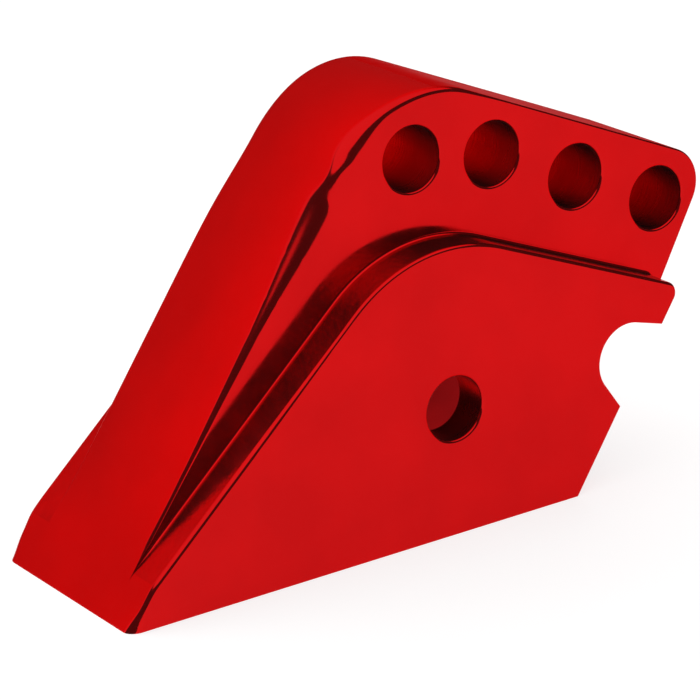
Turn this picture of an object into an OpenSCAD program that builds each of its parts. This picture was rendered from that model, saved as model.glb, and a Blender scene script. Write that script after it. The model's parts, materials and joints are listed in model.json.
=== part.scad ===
// Rear shock absorber riser for a small scooter: one block, milled from the solid.
//
// The foot is a fork. Its two cheeks go over the lug on the engine case, and one
// bolt passes through both of them. The head is a lug of the same width as that of
// the engine, with a row of four bores. The fork of the shock absorber goes over
// it, in any one of the four, and so sits higher than before.
//
// Millimetres. The origin is the centre of the fork bore, midway between the two
// cheeks. +X points to the rear, +Y runs along the bores and +Z is up. The base is
// flat, and parallel to X and Y.

/* [Widths] */
// Overall width, across the outer faces of the two cheeks
block_w = 30; // [28:0.5:36]
// Width of the head lug, which takes over from the lug of the engine
lug_w = 20; // [16:0.5:22]
// Side clearance of the fork on the lug of the engine, both sides together
slot_clearance = 0.4; // [0.2:0.1:0.8]

/* [Foot] */
// Height of the fork bore above the flat base
bore_height = 16.5; // [15:0.5:18]
// Radius of the arch of each cheek about the fork bore
arch_r = 20.7; // [19:0.1:22]
// Slope of the ramp that runs from the toe up to the arch
ramp_angle = 41.8; // [40:0.2:44]
// Radius that blends the front face of the toe into the ramps
nose_r = 8; // [2:0.5:12]
// Fall of the shoulders, from the arch towards the rear
shoulder_fall = 22.2; // [20.4:0.2:25]
// Radius on the rear end of the shoulders
shoulder_r = 1.6; // [0.6:0.2:1.8]
// Slope of the rear faces of the cheeks
rear_angle = 56; // [54:0.2:58]
// Distance from the fork bore to the rear face below the notch
foot_rear_dist = 24.5; // [23.5:0.1:25]
// Distance from the fork bore to the rear faces of the cheeks above the notch
rear_dist = 25.2; // [25.1:0.1:26]
// Radius of the round end of the slot, about the fork bore
slot_r = 14; // [12:0.5:15]

/* [Head] */
// Slope of the front face
face_angle = 54.4; // [53:0.2:56]
// Slope of the rear face of the lug
lug_rear_angle = 61.2; // [60:0.2:63]
// Fall of the top face towards the rear
top_fall = 23.5; // [22:0.1:25]
// Distance from the fork bore to the plane of the front face
front_dist = 29; // [28.2:0.2:31]
// Distance from the fork bore to the plane of the rear face of the lug
lug_rear_dist = 28.5; // [28:0.1:29.5]
// Distance from the fork bore to the plane of the top face
top_dist = 37.6; // [36:0.2:40]
// Radius between the front face and the top face
crown_r = 16; // [12:0.5:18]
// Radius between the top face and the rear face
heel_r = 5; // [4:0.1:6]

/* [Bores] */
// Diameter of every bore, a clearance fit for an 8 mm bolt
bore_d = 8.2; // [8.1:0.1:8.6]
// Distance from the fork bore to the row of head bores
row_dist = 31; // [30:0.2:32]
// Place of the first head bore on the arc about the fork bore, from straight up
first_angle = -2.8; // [-6:0.2:0]
// Place of the second head bore on the same arc
second_angle = 19.6; // [18:0.2:23]
// Pitch of the last three head bores, along the top face
row_pitch = 13.8; // [13:0.1:14.5]
// Chamfer at the mouth of each bore
mouth_chamfer = 0.3; // [0.1:0.1:0.5]

/* [Notch] */
// Distance from the fork bore back to the centre of the notch
notch_dist = 27; // [26:0.2:28]
// Radius at the bottom of the notch
notch_r = 4.7; // [4.3:0.1:5]
// Angle by which each side of the notch opens out towards the rear
notch_flare = 20; // [10:1:25]

/* [Hidden] */
$fn = 96;
anodised_red = [0.77, 0.07, 0.09];
// How far a cutting shape runs past what it cuts
past = 1;
// More than the block reaches from its fork bore in any direction
beyond = 100;
slot_w = lug_w + slot_clearance;
bore_r = bore_d / 2;

// Each straight side of the profile is a line in the XZ plane, given by the angle
// of its outward normal from +X and by its distance from the fork bore.
ramp = [90 + ramp_angle, arch_r];
shoulder = [90 - shoulder_fall, arch_r];
front = [90 + face_angle, front_dist];
top = [90 - top_fall, top_dist];
rear = [rear_angle - 90, rear_dist];
lug_rear = [lug_rear_angle - 90, lug_rear_dist];
foot_rear = [rear_angle - 90, foot_rear_dist];
base = [-90, bore_height];
bore_level = [90, 0];
slot_roof = [90 - shoulder_fall, slot_r];
slot_front = [180, slot_r];
below_base = [-90, bore_height + past];
behind_rear = [rear_angle - 90, lug_rear_dist + past];
notch_upper = notch_side(face_angle + notch_flare);
notch_lower = notch_side(face_angle - 180 - notch_flare);

function unit(angle) = [cos(angle), sin(angle)];

// One straight side of the notch, which touches the round bottom
function notch_side(normal) = [normal, notch_dist * cos(normal) + notch_r];

// Where two lines of the profile cross, once both are moved inwards by inset
function crossing(a, b, inset = 0) =
    let (da = a[1] - inset, db = b[1] - inset)
    [da * sin(b[0]) - db * sin(a[0]), db * cos(a[0]) - da * cos(b[0])] / sin(b[0] - a[0]);

// The points that one corner [line, next line, radius] adds to the polygon
function corner_points(c) =
    let (centre = crossing(c[0], c[1], c[2]))
    c[2] > 0 ? [centre + c[2] * unit(c[0][0]), centre + c[2] * unit(c[1][0])] : [centre];

// A closed profile with true arcs at its rounded corners
module profile(corners) {
    polygon([for (c = corners) each corner_points(c)]);
    for (c = corners) {
        if (c[2] > 0) translate(crossing(c[0], c[1], c[2])) circle(c[2]);
    }
}

// A profile made into a plate of the given width, centred on the XZ plane
module plate(width) {
    rotate([90, 0, 0]) linear_extrude(width, center = true) children();
}

// What lies above the base: the circle of the arch reaches below it
module above_base() {
    intersection() {
        children();
        translate([-beyond, -bore_height]) square([2 * beyond, 2 * beyond]);
    }
}

// Side view of the two cheeks: toe, ramp, arch, shoulder and rear face
module cheek_profile() {
    above_base() profile([
        [base, front, 0],
        [front, ramp, nose_r],
        [ramp, shoulder, arch_r],
        [shoulder, rear, shoulder_r],
        [rear, base, 0]
    ]);
}

// Side view of the head lug, carried down through the block to the base
module lug_profile() {
    above_base() profile([
        [base, front, 0],
        [front, top, crown_r],
        [top, lug_rear, heel_r],
        [lug_rear, base, 0]
    ]);
}

// Side view of what is cut back from the rear face, from the notch down to the base
module relief_profile() {
    profile([
        [below_base, foot_rear, 0],
        [foot_rear, bore_level, 0],
        [bore_level, behind_rear, 0],
        [behind_rear, below_base, 0]
    ]);
}

// Side view of the slot, round about the fork bore and open below and behind
module slot_profile() {
    profile([
        [below_base, slot_front, 0],
        [slot_front, slot_roof, slot_r],
        [slot_roof, behind_rear, 0],
        [behind_rear, below_base, 0]
    ]);
}

// Side view of the notch, a round bottom whose two sides open towards the rear
module notch_profile() {
    profile([
        [notch_lower, notch_upper, notch_r],
        [notch_upper, behind_rear, 0],
        [behind_rear, notch_lower, 0]
    ]);
}

// Centres of the head bores, as [x, z]: two on the arc and two along the top face
second_bore = row_dist * unit(90 - second_angle);
head_bores = [
    row_dist * unit(90 - first_angle),
    second_bore,
    second_bore + row_pitch * unit(-top_fall),
    second_bore + 2 * row_pitch * unit(-top_fall)
];

// A bore through the given width, with a chamfer at each mouth
module bore(centre, width) {
    translate([centre[0], 0, centre[1]]) rotate([90, 0, 0]) {
        cylinder(h = width + 2 * past, r = bore_r, center = true);
        for (side = [0, 1]) mirror([0, 0, side]) {
            translate([0, 0, width / 2 - mouth_chamfer])
                cylinder(h = 2 * mouth_chamfer, r1 = bore_r, r2 = bore_r + 2 * mouth_chamfer);
        }
    }
}

module riser_block() {
    color(anodised_red) difference() {
        union() {
            plate(block_w) cheek_profile();
            plate(lug_w) lug_profile();
        }
        plate(slot_w) slot_profile();
        plate(block_w + 2 * past) notch_profile();
        plate(block_w + 2 * past) relief_profile();
        bore([0, 0], block_w);
        for (centre = head_bores) bore(centre, lug_w);
    }
}

riser_block();
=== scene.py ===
"""Looks of the shock absorber riser: one milled, polished and red anodised block.

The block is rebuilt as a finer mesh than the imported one. Its outer skin is made of
rings, each a side view outline at one depth, so that every edge carries the rounding
that hand polishing gave it. Slot, notch and bores are then cut out of that skin.
"""
import json
import math

import bmesh
import bpy
import numpy as np
from mathutils import Matrix, Vector


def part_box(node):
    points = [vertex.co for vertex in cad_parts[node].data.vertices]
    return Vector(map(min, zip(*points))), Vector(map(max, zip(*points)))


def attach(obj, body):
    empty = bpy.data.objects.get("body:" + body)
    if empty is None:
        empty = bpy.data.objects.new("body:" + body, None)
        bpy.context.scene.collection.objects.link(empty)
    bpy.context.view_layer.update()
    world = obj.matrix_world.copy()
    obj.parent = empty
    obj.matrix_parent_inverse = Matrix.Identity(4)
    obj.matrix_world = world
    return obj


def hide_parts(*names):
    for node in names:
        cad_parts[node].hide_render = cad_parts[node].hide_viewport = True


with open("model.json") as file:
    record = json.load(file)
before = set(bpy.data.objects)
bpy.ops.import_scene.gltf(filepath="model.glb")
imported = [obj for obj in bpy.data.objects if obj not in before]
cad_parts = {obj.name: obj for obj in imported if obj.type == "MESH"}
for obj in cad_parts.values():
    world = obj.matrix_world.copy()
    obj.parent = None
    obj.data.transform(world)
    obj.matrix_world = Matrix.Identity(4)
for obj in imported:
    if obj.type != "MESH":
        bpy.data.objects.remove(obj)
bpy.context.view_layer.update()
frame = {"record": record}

MM = 0.001

# ---------------------------------------------------------------- dimensions, in mm
# The same driving dimensions as the CAD source, about the centre of the fork bore
BLOCK_HALF = 15.0
LUG_HALF = 10.0
SLOT_HALF = 10.2
BASE_Z = -16.5
ARCH_R = 20.7
NOSE_R = 8.0
CROWN_R = 16.0
HEEL_R = 5.0
SHOULDER_R = 1.6
SLOT_R = 14.0
UNDER_R = 3.0
NOTCH_DIST = 27.0
NOTCH_R = 4.7
NOTCH_FLARE = 20.0
TOP_NORMAL = 90 - 23.5
SHOULDER_NORMAL = 90 - 22.2
FACE = 54.4
REAR_NORMAL = 56 - 90
LUG_REAR_NORMAL = 61.2 - 90

# A straight side of the profile: the angle of its outward normal, and its distance
RAMP = (90 + 41.8, ARCH_R)
SHOULDER = (SHOULDER_NORMAL, ARCH_R)
FRONT = (90 + FACE, 29.0)
TOP = (TOP_NORMAL, 37.6)
REAR = (REAR_NORMAL, 25.2)
LUG_REAR = (LUG_REAR_NORMAL, 28.5)
FOOT_REAR = (REAR_NORMAL, 24.5)
BORE_LEVEL = (90, 0.0)
SLOT_ROOF = (SHOULDER_NORMAL, SLOT_R)
SLOT_FRONT = (180, SLOT_R)
# Where the skin ends below the base, before the base is cut, and where the cutters end
BELOW = (-90, 26.0)
FAR_BELOW = (-90, 30.0)
BEHIND = (REAR_NORMAL, 32.0)
# Where the toe begins, along X
TOE_X = -30

# ---------------------------------------------------------------- polished edges, in mm
# Least rounding of the edges on the far side, and of cheek and lug on the near side
CRISP = 0.5
CHEEK_CRISP = 0.45
LUG_CRISP = 0.25
# What is added at the foot of the toe, and above it on the far side
TOE_SWELL = 0.9
FAR_TOE_SWELL = 0.7
# What is added along the lug's front edge, below the crown and on the crown
FRONT_SWELL = 0.8
BELLY_SWELL = 1.5
CROWN_SWELL = 1.0
FAR_CROWN_SWELL = 2.0
FAR_HEEL_SWELL = 1.3
# The concave rounding between cheek and lug, the cut edges and the mouths of the bores
INNER_R = 0.4
BURR = 0.22
MOUTH_R = 0.35
# How far the front face and the crown bulge between the two sides
PILLOW = 0.2

# ---------------------------------------------------------------- mesh fineness
ARC_STEP = 2.5
LINE_STEP = 0.8
FILLET_STEPS = 8
INNER_STEPS = 4
PILLOW_STEPS = 12
BORE_SIDES = 96
# Distances in metres below which points are joined, in a skin and in the cut block
WELD = 1e-7
CUT_WELD = 2e-6
# How far off a wall, in mm, a face still counts as lying on it
ON_WALL = 0.01


def unit(angle):
    """Direction at an angle in degrees from +X towards +Z."""
    return np.array([math.cos(math.radians(angle)), math.sin(math.radians(angle))])


def crossing(a, b, inset=0.0):
    """Where two sides cross, once both are moved inwards by inset."""
    sides = np.array([unit(a[0]), unit(b[0])])
    return np.linalg.solve(sides, [a[1] - inset, b[1] - inset])


def arc(centre, radius, start, end):
    """Points and normals along an arc, from one normal angle to another."""
    steps = max(2, math.ceil(abs(end - start) / ARC_STEP) + 1)
    normals = [unit(angle) for angle in np.linspace(start, end, steps)]
    return [(centre + radius * n, n) for n in normals]


def corner(a, b, radius):
    """The rounded corner between two sides, the outline running clockwise."""
    turn = (b[0] - a[0] + 180) % 360 - 180
    return arc(crossing(a, b, radius), radius, a[0], a[0] + turn)


def path(*stretches):
    """Joins stretches into one open path and fills the straight parts between them."""
    points = []
    for stretch in stretches:
        if points:
            (p, n), (q, _) = points[-1], stretch[0]
            gap = np.linalg.norm(q - p)
            fill = math.ceil(gap / LINE_STEP)
            if gap > 1e-6:
                points += [(p + (q - p) * k / fill, n) for k in range(1, fill)]
            else:
                stretch = stretch[1:]
        points += stretch
    return np.array([p for p, _ in points]), np.array([n for _, n in points])


# Cheeks and lug share one outline from where the ramps turn off the front face down
# to the toe, and so on to a point behind, which lies below what will be the base.
nose = corner(FRONT, RAMP, NOSE_R)
under_rear = corner(REAR, BELOW, UNDER_R)
front_foot, rear_foot = nose[0], under_rear[-1]

cheek_path = path(
    nose, corner(RAMP, SHOULDER, ARCH_R), corner(SHOULDER, REAR, SHOULDER_R), under_rear
)
lug_path = path(
    [front_foot],
    corner(FRONT, TOP, CROWN_R),
    corner(TOP, LUG_REAR, HEEL_R),
    corner(LUG_REAR, BELOW, UNDER_R),
    [rear_foot],
)
shared_path = path(
    [rear_foot], corner(BELOW, (FRONT[0] - 360, FRONT[1]), UNDER_R), [front_foot]
)


def smooth(low, high, values):
    """Rises from 0 to 1 between low and high."""
    t = np.clip((values - low) / (high - low), 0, 1)
    return t * t * (3 - 2 * t)


def bump(centre, width, values):
    """A smooth hump of height 1."""
    return np.exp(-(((values - centre) / width) ** 2))


def clearance(points, others):
    """Distance from each point to the open line through the others."""
    starts, runs = others[:-1], np.diff(others, axis=0)
    reach = points[:, None] - starts[None]
    along = np.clip((reach * runs).sum(axis=2) / (runs**2).sum(axis=1), 0, 1)
    return np.min(np.linalg.norm(reach - along[..., None] * runs, axis=2), axis=1)


def spare(points, others):
    """Room for a rounding where two outlines part: none at all just after they do."""
    ends = np.linalg.norm(points[:, None] - others[[0, -1]][None], axis=2).min(axis=1)
    return 0.4 * clearance(points, others) * smooth(1.3, 5, ends)


def cheek_radius(points, near):
    """Rounding of a cheek's outer edge: fullest at the foot of the toe."""
    x, z = points.T
    toe = smooth(-13.5, BASE_Z, z) * (x < TOE_X)
    if not near:
        above = smooth(-9.5, -14, z) * (x < TOE_X)
        return CRISP + FAR_TOE_SWELL * above + TOE_SWELL * toe
    return CHEEK_CRISP + 0.2 * smooth(-14, TOE_X, x) + TOE_SWELL * toe


def lug_radius(points, near):
    """Rounding of the head lug's edges: fullest below the crown and on it, crisp behind."""
    x, z = points.T
    angle = np.degrees(np.arctan2(z, x))
    crown = smooth(112.5, 108, angle) * smooth(97, 106, angle)
    if not near:
        heel = bump(29, 7, angle)
        return CRISP + FAR_CROWN_SWELL * bump(108, 14, angle) + FAR_HEEL_SWELL * heel
    ahead = smooth(14, -6, x)
    front = smooth(-5, 20, z) * ahead
    belly = smooth(14, 28, z) * smooth(31.2, 28.3, z) * (x < -10)
    swell = LUG_CRISP + 0.15 * ahead + FRONT_SWELL * front + BELLY_SWELL * belly
    return swell + CROWN_SWELL * crown


def pillow(points, normals):
    """Height of the bulge, which dies out at the toe and on the top face."""
    ends = np.linalg.norm(points[:, None] - points[[0, -1]][None], axis=2).min(axis=1)
    angle = np.degrees(np.arctan2(normals[:, 1], normals[:, 0]))
    return PILLOW * smooth(1.3, 12, ends) * smooth(70, 105, angle)


def rings(points, normals, radius, half, side):
    """Rings of a convex rounding, from the side face inwards to the wall."""
    made = []
    for angle in np.linspace(0, math.pi / 2, FILLET_STEPS + 1):
        inset = radius * (1 - math.sin(angle))
        depth = half - radius * (1 - math.cos(angle))
        flat = points - inset[:, None] * normals
        made.append(np.column_stack([flat[:, 0], side * depth, flat[:, 1]]))
    return made


def inner_rings(points, normals, radius, side):
    """Rings of the concave rounding between a cheek's wall and the lug's side."""
    made = []
    for angle in np.linspace(0, math.pi / 2, INNER_STEPS + 1):
        out = radius * (1 - math.cos(angle))
        depth = LUG_HALF + radius * (1 - math.sin(angle))
        flat = points + out[:, None] * normals
        made.append(np.column_stack([flat[:, 0], side * depth, flat[:, 1]]))
    return made


class Skin:
    """Collects rings of points and the faces between them."""

    def __init__(self):
        self.mesh = bmesh.new()

    def verts(self, ring):
        return [self.mesh.verts.new(Vector(p) * MM) for p in ring]

    def strip(self, a, b):
        for k in range(len(a) - 1):
            self.mesh.faces.new((a[k], a[k + 1], b[k + 1], b[k]))

    def strips(self, columns):
        for a, b in zip(columns, columns[1:]):
            self.strip(a, b)

    def across(self, near, far, bulge):
        """The wall between two rings, each given as points and as their vertices."""
        rows = [near[1]]
        for t in np.linspace(0, 1, PILLOW_STEPS + 1)[1:-1]:
            row = near[0] + (far[0] - near[0]) * t
            row[:, [0, 2]] += 4 * t * (1 - t) * bulge
            rows.append(self.verts(row))
        self.strips(rows + [far[1]])


def outer_skin():
    """The block before anything is cut out of it, reaching below its base."""
    skin = Skin()
    cp, cn = cheek_path
    lp, ln = lug_path
    sp, sn = shared_path
    bulge = pillow(lp, ln)
    lug_edge = lp - bulge[:, None] * ln
    lug_ends, shared_ends = [], []
    for side, near in ((-1, True), (1, False)):
        inner = np.minimum(INNER_R, spare(cp, lp))
        lug = np.minimum(lug_radius(lp, near), spare(lp, cp))
        cheek = rings(cp, cn, cheek_radius(cp, near), BLOCK_HALF, side)
        cheek += inner_rings(cp, cn, inner, side)
        cheek = [skin.verts(r) for r in cheek]
        lug_rings = rings(lug_edge, ln, lug, LUG_HALF, side)
        lug = [skin.verts(r) for r in lug_rings]
        shared = rings(sp, sn, cheek_radius(sp, near), BLOCK_HALF, side)
        middle = np.column_stack([sp[:, 0], np.full(len(sp), side * LUG_HALF), sp[:, 1]])
        shared = [skin.verts(r) for r in shared + [middle]]
        skin.strips(cheek)
        skin.strips(lug)
        skin.strips(shared)
        skin.mesh.faces.new(cheek[0] + shared[0])
        skin.mesh.faces.new(cheek[-1] + lug[0][::-1])
        lug_ends.append((lug_rings[-1], lug[-1]))
        shared_ends.append((middle, shared[-1]))
    skin.across(*lug_ends, bulge[:, None] * ln)
    skin.across(*shared_ends, 0 * sn)
    bmesh.ops.remove_doubles(skin.mesh, verts=skin.mesh.verts, dist=WELD)
    bmesh.ops.dissolve_degenerate(skin.mesh, edges=skin.mesh.edges, dist=WELD)
    bmesh.ops.recalc_face_normals(skin.mesh, faces=skin.mesh.faces)
    return skin.mesh


def to_object(mesh, name):
    """Turns a bmesh into an object of the scene."""
    data = bpy.data.meshes.new(name)
    mesh.to_mesh(data)
    mesh.free()
    made = bpy.data.objects.new(name, data)
    bpy.context.scene.collection.objects.link(made)
    return made


def prism(outline, half, name):
    """A closed outline in the side view, carried to both sides."""
    skin = Skin()
    ends = []
    for side in (-1, 1):
        ring = np.column_stack([outline[:, 0], np.full(len(outline), side * half), outline[:, 1]])
        ends.append(skin.verts(ring))
        skin.mesh.faces.new(ends[-1])
    skin.strip(*[end + end[:1] for end in ends])
    bmesh.ops.recalc_face_normals(skin.mesh, faces=skin.mesh.faces)
    return to_object(skin.mesh, name)


def closed(*stretches):
    """The points of a closed outline."""
    points = np.concatenate([[p for p, _ in stretch] for stretch in stretches])
    keep = np.linalg.norm(points - np.roll(points, 1, axis=0), axis=1) > 1e-6
    return points[keep]


def slot_outline():
    """Round about the fork bore, open below and behind."""
    return closed(
        [(crossing(FAR_BELOW, SLOT_FRONT), None)],
        corner(SLOT_FRONT, SLOT_ROOF, SLOT_R),
        [(crossing(SLOT_ROOF, BEHIND), None)],
        [(crossing(BEHIND, FAR_BELOW), None)],
    )


def relief_outline():
    """What is cut back from the rear face, from the notch down."""
    sides = [FAR_BELOW, FOOT_REAR, BORE_LEVEL, BEHIND, FAR_BELOW]
    return np.array([crossing(a, b) for a, b in zip(sides, sides[1:])])


def notch_outline():
    """A round bottom whose two sides open towards the rear."""
    centre = np.array([NOTCH_DIST, 0.0])
    upper = FACE + NOTCH_FLARE
    lower = FACE - 180 - NOTCH_FLARE
    sides = {
        angle: (angle, NOTCH_DIST * math.cos(math.radians(angle)) + NOTCH_R)
        for angle in (upper, lower)
    }
    return closed(
        arc(centre, NOTCH_R, lower + 360, upper),
        [(crossing(sides[upper], BEHIND), None)],
        [(crossing(BEHIND, sides[lower]), None)],
    )


def bore_cutter(x, z, radius, half, name):
    """A round cutter whose mouths flare like the polished mouths of a bore."""
    mouth = radius + MOUTH_R
    section = [(half + 1.0, mouth + 0.6), (half + 0.02, mouth + 0.02)]
    for angle in np.radians(np.linspace(5, 90, 7)):
        inward, outward = 1 - math.cos(angle), 1 - math.sin(angle)
        section.append((half - MOUTH_R * inward, radius + MOUTH_R * outward))
    section = [(-y, r) for y, r in section] + section[::-1]
    skin = Skin()
    loops = []
    angles = np.linspace(0, 2 * math.pi, BORE_SIDES, endpoint=False)
    for y, r in section:
        depth = np.full(BORE_SIDES, y)
        ring = np.column_stack([x + r * np.cos(angles), depth, z + r * np.sin(angles)])
        loops.append(skin.verts(ring))
    for a, b in zip(loops, loops[1:]):
        skin.strip(a + a[:1], b + b[:1])
    skin.mesh.faces.new(loops[0])
    skin.mesh.faces.new(loops[-1])
    bmesh.ops.recalc_face_normals(skin.mesh, faces=skin.mesh.faces)
    return to_object(skin.mesh, name)


def cut(target, cutters):
    """Takes the cutters out of the target and removes them."""
    for cutter in cutters:
        boolean = target.modifiers.new("cut", "BOOLEAN")
        boolean.operation = "DIFFERENCE"
        boolean.solver = "EXACT"
        boolean.object = cutter
    graph = bpy.context.evaluated_depsgraph_get()
    result = bpy.data.meshes.new_from_object(target.evaluated_get(graph))
    target.modifiers.clear()
    target.data = result
    for cutter in cutters:
        bpy.data.objects.remove(cutter)


bores = []
for mount in frame["record"]["mounts"]:
    if mount["kind"] == "bore":
        x, _, z = mount["pos_m"]
        bores.append((x / MM, z / MM, mount["dims"]["r_mm"], mount["dims"]["length_mm"] / 2))

block = to_object(outer_skin(), "riser_block_polished")
cutters = [
    prism(slot_outline(), SLOT_HALF, "slot"),
    prism(notch_outline(), BLOCK_HALF + 3, "notch"),
    prism(relief_outline(), BLOCK_HALF + 4, "relief"),
]
cutters += [bore_cutter(*b, f"bore_{k}") for k, b in enumerate(bores)]
cut(block, cutters)

# The base is one flat cut
mesh = bmesh.new()
mesh.from_mesh(block.data)
sliced = bmesh.ops.bisect_plane(
    mesh,
    geom=mesh.verts[:] + mesh.edges[:] + mesh.faces[:],
    dist=1e-8,
    plane_co=(0, 0, BASE_Z * MM),
    plane_no=(0, 0, 1),
    clear_inner=True,
)
rim = [e for e in sliced["geom_cut"] if isinstance(e, bmesh.types.BMEdge)]
bmesh.ops.holes_fill(mesh, edges=rim, sides=0)
bmesh.ops.dissolve_limit(
    mesh, angle_limit=math.radians(0.05), verts=mesh.verts, edges=mesh.edges, delimit={"NORMAL"}
)
bmesh.ops.remove_doubles(mesh, verts=mesh.verts, dist=CUT_WELD)
bmesh.ops.recalc_face_normals(mesh, faces=mesh.faces)
mesh.to_mesh(block.data)
mesh.free()
block.data.shade_smooth()

# The cut edges get a fine rounding, and the flat faces keep their own shading
bevel = block.modifiers.new("burr", "BEVEL")
bevel.width = BURR * MM
bevel.segments = 3
bevel.limit_method = "ANGLE"
bevel.angle_limit = math.radians(50)
bevel.use_clamp_overlap = True
bevel.miter_outer = "MITER_ARC"
weighted = block.modifiers.new("normals", "WEIGHTED_NORMAL")
weighted.mode = "FACE_AREA"
weighted.weight = 100
weighted.keep_sharp = True


# ---------------------------------------------------------------- materials
class Surface:
    """A material with the few procedural nodes that its finish is made of."""

    def __init__(self, name):
        self.material = bpy.data.materials.new(name)
        self.material.use_nodes = True
        self.nodes = self.material.node_tree.nodes
        self.links = self.material.node_tree.links
        self.shader = self.nodes["Principled BSDF"]
        self.place = self.nodes.new("ShaderNodeTexCoord").outputs["Object"]

    def link(self, value, name):
        self.links.new(value, self.shader.inputs[name])

    def noise(self, size, stretch=(1, 1, 1), detail=3.0):
        """Noise whose features are size mm wide, drawn out along an axis by stretch."""
        scale = self.nodes.new("ShaderNodeVectorMath")
        scale.operation = "DIVIDE"
        scale.inputs[1].default_value = [size * MM * s for s in stretch]
        self.links.new(self.place, scale.inputs[0])
        noise = self.nodes.new("ShaderNodeTexNoise")
        noise.inputs["Scale"].default_value = 1.0
        noise.inputs["Detail"].default_value = detail
        self.links.new(scale.outputs[0], noise.inputs["Vector"])
        return noise.outputs["Fac"]

    def remap(self, value, low, high, to_low, to_high):
        node = self.nodes.new("ShaderNodeMapRange")
        for name, number in zip(
            ("From Min", "From Max", "To Min", "To Max"), (low, high, to_low, to_high)
        ):
            node.inputs[name].default_value = number
        self.links.new(value, node.inputs["Value"])
        return node.outputs["Result"]

    def multiply(self, a, b):
        node = self.nodes.new("ShaderNodeMath")
        node.operation = "MULTIPLY"
        self.links.new(a, node.inputs[0])
        self.links.new(b, node.inputs[1])
        return node.outputs[0]

    def mix(self, factor, a, b):
        """A colour between a and b, each of them a fixed colour or a socket."""
        node = self.nodes.new("ShaderNodeMix")
        node.data_type = "RGBA"
        self.links.new(factor, node.inputs["Factor"])
        for name, colour in (("A", a), ("B", b)):
            socket = next(i for i in node.inputs if i.name == name and i.type == "RGBA")
            if isinstance(colour, tuple):
                socket.default_value = (*colour, 1)
            else:
                self.links.new(colour, socket)
        return next(o for o in node.outputs if o.type == "RGBA")

    def bump(self, height, depth, under=None):
        """Relief of depth mm, laid over the relief under it."""
        node = self.nodes.new("ShaderNodeBump")
        node.inputs["Distance"].default_value = depth * MM
        self.links.new(height, node.inputs["Height"])
        if under is not None:
            self.links.new(under, node.inputs["Normal"])
        return node.outputs["Normal"]

    def edges(self, radius):
        """1 along the outer edges and 0 on the faces, from how far the normal turns."""
        bevel = self.nodes.new("ShaderNodeBevel")
        bevel.samples = 4
        bevel.inputs["Radius"].default_value = radius * MM
        dot = self.nodes.new("ShaderNodeVectorMath")
        dot.operation = "DOT_PRODUCT"
        geometry = self.nodes.new("ShaderNodeNewGeometry")
        self.links.new(bevel.outputs["Normal"], dot.inputs[0])
        self.links.new(geometry.outputs["Normal"], dot.inputs[1])
        return self.remap(dot.outputs["Value"], 0.995, 0.9, 0.0, 1.0)


def anodised(name, light, deep, thin_dye_and_highlight_colour, roughness, grain, streaks=(1, 1, 1), coat=0.18):
    """Red anodised aluminium. The dye is uneven. The edges are painted lighter: partly thinner
    dye there, partly a painted highlight along the roundings.
    """
    surface = Surface(name)
    dye = surface.mix(surface.remap(surface.noise(14), 0.35, 0.65, 0, 1), deep, light)
    # Lighter colour along the edges: thinner dye, and a painted highlight along the roundings
    thin_dye_and_highlight_mask = surface.multiply(
        surface.edges(0.35), surface.remap(surface.noise(1.8), 0.35, 0.7, 0.1, 0.6)
    )
    surface.link(surface.mix(thin_dye_and_highlight_mask, dye, thin_dye_and_highlight_colour), "Base Color")
    haze = surface.noise(2.5, streaks)
    surface.link(surface.remap(haze, 0.3, 0.7, *roughness), "Roughness")
    ripple = surface.bump(surface.noise(9, detail=1.0), 0.04)
    size, depth = grain
    surface.link(surface.bump(surface.noise(size, streaks), depth, ripple), "Normal")
    shader = surface.shader.inputs
    shader["Metallic"].default_value = 1.0
    shader["Specular Tint"].default_value = (0.60, 0.012, 0.014, 1)
    shader["Coat Weight"].default_value = coat
    shader["Coat Roughness"].default_value = 1.0
    return surface.material


# In each finish the third colour is the lighter edge colour: thinner dye and a painted highlight
finishes = {
    "polished": anodised(
        "red_anodised_polished",
        light=(0.62, 0.0054, 0.0064),
        deep=(0.56, 0.0048, 0.0058),
        thin_dye_and_highlight_colour=(0.74, 0.0250, 0.0250),
        roughness=(0.09, 0.15),
        grain=(0.5, 0.0008),
    ),
    "milled": anodised(
        "red_anodised_milled",
        light=(0.60, 0.0054, 0.0064),
        deep=(0.46, 0.0044, 0.0054),
        thin_dye_and_highlight_colour=(0.74, 0.0250, 0.0250),
        roughness=(0.14, 0.26),
        grain=(0.6, 0.030),
        streaks=(1, 2, 1),
    ),
    "bored": anodised(
        "red_anodised_bored",
        light=(0.56, 0.0080, 0.0095),
        deep=(0.36, 0.0060, 0.0070),
        thin_dye_and_highlight_colour=(0.70, 0.0300, 0.0300),
        roughness=(0.20, 0.36),
        grain=(0.3, 0.030),
        streaks=(7, 1, 7),
    ),
    "planed": anodised(
        "red_anodised_planed",
        light=(0.60, 0.0040, 0.0050),
        deep=(0.52, 0.0036, 0.0045),
        thin_dye_and_highlight_colour=(0.74, 0.0250, 0.0250),
        roughness=(0.42, 0.55),
        grain=(0.5, 0.006),
        streaks=(4, 1, 4),
        coat=0.05,
    ),
    # Inside the slot: a rougher sawn finish, and a darker red that is painted shade
    "sawn_and_painted_shade": anodised(
        "red_anodised_slot_painted_shade",
        light=(0.34, 0.0050, 0.0060),
        deep=(0.24, 0.0040, 0.0050),
        thin_dye_and_highlight_colour=(0.60, 0.0200, 0.0200),
        roughness=(0.28, 0.42),
        grain=(0.5, 0.020),
        streaks=(4, 1, 4),
    ),
}


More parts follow.
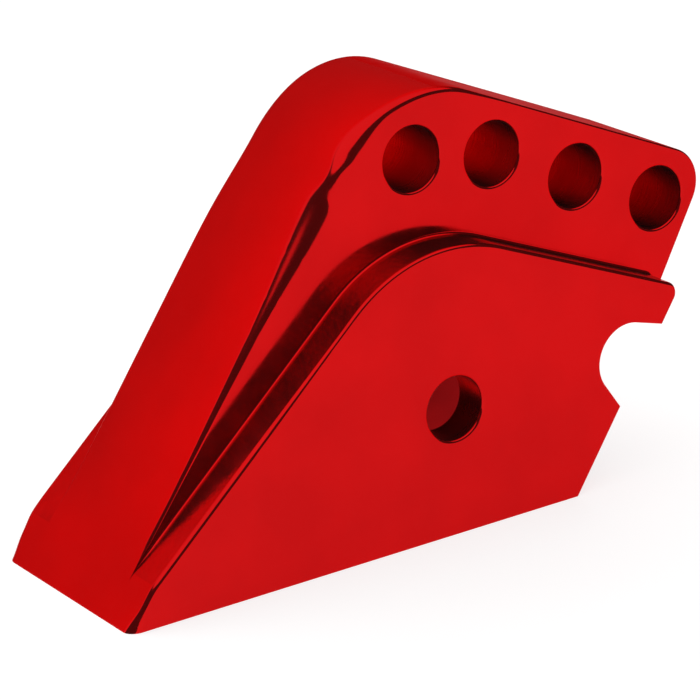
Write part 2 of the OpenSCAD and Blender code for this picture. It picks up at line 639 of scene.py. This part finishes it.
def wall(polygon):
    """Which finish a face has, by where it lies and which way it looks."""
    x, y, z = [c / MM for c in polygon.center]
    level = abs(polygon.normal.y) < 0.3
    if level and any(math.hypot(x - bx, z - bz) < r + 0.15 for bx, bz, r, _ in bores):
        return "bored"
    # Faces inside the slot get the darker red: painted shade
    under_roof = np.array([x, z]) @ unit(SHOULDER_NORMAL) < SLOT_R + ON_WALL
    between = abs(y) < SLOT_HALF + ON_WALL
    if between and x > -SLOT_R - ON_WALL and under_roof and z < SLOT_R:
        return "sawn_and_painted_shade"
    on_cheek = level and LUG_HALF < abs(y) < BLOCK_HALF - 0.7
    if on_cheek and polygon.normal.z > 0.7 and x < 4:
        return "milled"
    on_top = np.array([x, z]) @ unit(TOP_NORMAL) > TOP[1] - 0.7
    if abs(y) < LUG_HALF and level and on_top:
        return "planed"
    return "polished"


block.data.materials.clear()
for material in finishes.values():
    block.data.materials.append(material)
places = {name: place for place, name in enumerate(finishes)}
for polygon in block.data.polygons:
    polygon.material_index = places[wall(polygon)]

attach(block, "root")
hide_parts("riser_block")

# ---------------------------------------------------------------- floor, light, camera
FLOOR_SIZE = 2.5
# Strength of the world's white light all round and straight behind, and how much of it
# is left in the dark room
AROUND = 1.15
STRAIGHT_BEHIND = 0.78
DARK = 0.09
# The camera: its angles in degrees, its lens, and in mm where it looks and from how far
AZIMUTH, ELEVATION, ROLL = 33.217, 19.983, 2.696
LENS = 176.3
AIM = (-5.46, -0.51, 4.96)
DISTANCE = 425.24

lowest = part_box("riser_block")[0][2]
floor_mesh = bmesh.new()
bmesh.ops.create_grid(floor_mesh, x_segments=1, y_segments=1, size=FLOOR_SIZE)
floor = to_object(floor_mesh, "floor")
floor.location = (0, 0, lowest)
paper = bpy.data.materials.new("white_paper")
paper.use_nodes = True
shader = paper.node_tree.nodes["Principled BSDF"]
shader.inputs["Base Color"].default_value = (0.40, 0.40, 0.40, 1)
shader.inputs["Roughness"].default_value = 0.9
shader.inputs["Emission Color"].default_value = (1, 1, 1, 1)
shader.inputs["Emission Strength"].default_value = 0.72
floor.data.materials.append(paper)

scene = bpy.context.scene
scene.view_settings.view_transform = "Standard"
world = bpy.data.worlds.new("studio")
scene.world = world
world.use_nodes = True
nodes, links = world.node_tree.nodes, world.node_tree.links
background = nodes["Background"]
direction = nodes.new("ShaderNodeTexCoord")
split = nodes.new("ShaderNodeSeparateXYZ")
links.new(direction.outputs["Generated"], split.inputs[0])


def ramp_node(value, low, high, out_low, out_high):
    """Goes smoothly from out_low to out_high as the value goes from low to high."""
    node = nodes.new("ShaderNodeMapRange")
    node.interpolation_type = "SMOOTHSTEP"
    links.new(value, node.inputs["Value"])
    node.inputs["From Min"].default_value = low
    node.inputs["From Max"].default_value = high
    node.inputs["To Min"].default_value = out_low
    node.inputs["To Max"].default_value = out_high
    return node.outputs["Result"]


def product(*values):
    """The product of sockets."""
    total = values[0]
    for value in values[1:]:
        node = nodes.new("ShaderNodeMath")
        node.operation = "MULTIPLY"
        links.new(total, node.inputs[0])
        links.new(value, node.inputs[1])
        total = node.outputs[0]
    return total


y, z = split.outputs["Y"], split.outputs["Z"]
# A dark room in front and to both sides, from below up to the overhead light, whose
# edge lies a little lower in front
in_front = ramp_node(y, 0.55, 0.40, 0.0, 1.0)
tilt = nodes.new("ShaderNodeMath")
tilt.operation = "MULTIPLY_ADD"
links.new(y, tilt.inputs[0])
tilt.inputs[1].default_value = -0.1
links.new(z, tilt.inputs[2])
under_light = ramp_node(tilt.outputs[0], 0.69, 0.655, 0.0, 1.0)
room = ramp_node(product(in_front, under_light), 0, 1, 1.0, DARK)
wall_light = ramp_node(y, 0.70, 0.88, AROUND, STRAIGHT_BEHIND)
links.new(product(room, wall_light), background.inputs["Strength"])
background.inputs["Color"].default_value = (1, 1, 1, 1)

camera = bpy.data.objects.new("camera", bpy.data.cameras.new("camera"))
scene.collection.objects.link(camera)
camera.data.lens = LENS
camera.data.sensor_width = 36
camera.data.clip_start = 0.01
camera.data.clip_end = 20
a, e = math.radians(AZIMUTH), math.radians(ELEVATION)
back = Vector((-math.sin(a) * math.cos(e), -math.cos(a) * math.cos(e), math.sin(e)))
place = Vector(AIM) * MM + back * (DISTANCE * MM)
facing = (-back).to_track_quat("-Z", "Y").to_matrix().to_4x4()
roll = Matrix.Rotation(math.radians(-ROLL), 4, "Z")
camera.matrix_world = Matrix.Translation(place) @ facing @ roll
scene.camera = camera
